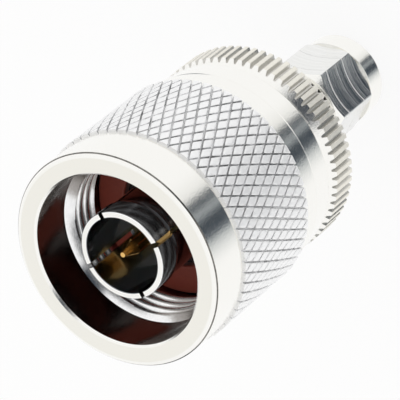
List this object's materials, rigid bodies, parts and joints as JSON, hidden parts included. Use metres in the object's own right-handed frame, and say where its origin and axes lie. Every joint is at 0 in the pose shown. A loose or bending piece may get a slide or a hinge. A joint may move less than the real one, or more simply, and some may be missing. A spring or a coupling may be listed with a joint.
{
  "type": "coaxial adapter, type n plug to sma plug",
  "caption": "Straight coaxial adapter with a knurled type N coupling nut at one end, a toothed grip ring in the middle and a hexagonal SMA coupling nut at the other.",
  "frame": {"origin": "centre of the mouth face of the SMA coupling nut, on the surface that the adapter stands on", "axes": "+Z along the axis of the adapter, from the SMA mouth up to the type N mouth; the first slot of the contact sleeve lies 15 degrees round from +X"},
  "size_m": [0.021, 0.021, 0.0402],
  "materials": {
    "nickel_plate": "bright nickel plate on turned brass",
    "gold_plate": "gold plate on turned brass",
    "ptfe": "machined fluoropolymer",
    "silicone": "red-brown silicone"
  },
  "bodies": {
    "body": {"n_outer_contact": "nickel_plate", "n_split_ring": "nickel_plate", "n_seal": "silicone", "n_insulator": "ptfe", "n_pin": "gold_plate", "toothed_body": "nickel_plate", "sma_insulator": "ptfe", "sma_pin": "gold_plate", "sma_seal": "silicone", "sma_split_ring": "nickel_plate"},
    "n_nut": {"n_coupling_nut": "nickel_plate"},
    "sma_nut": {"sma_coupling_nut": "nickel_plate"}
  },
  "joints": [
    {"name": "n_nut_spin", "type": "hinge", "parent": "body", "child": "n_nut", "pos_m": [0, 0, 0.0231], "axis": [0, 0, 1], "continuous": true},
    {"name": "sma_nut_spin", "type": "hinge", "parent": "body", "child": "sma_nut", "pos_m": [0, 0, 0.0074], "axis": [0, 0, 1], "continuous": true}
  ]
}
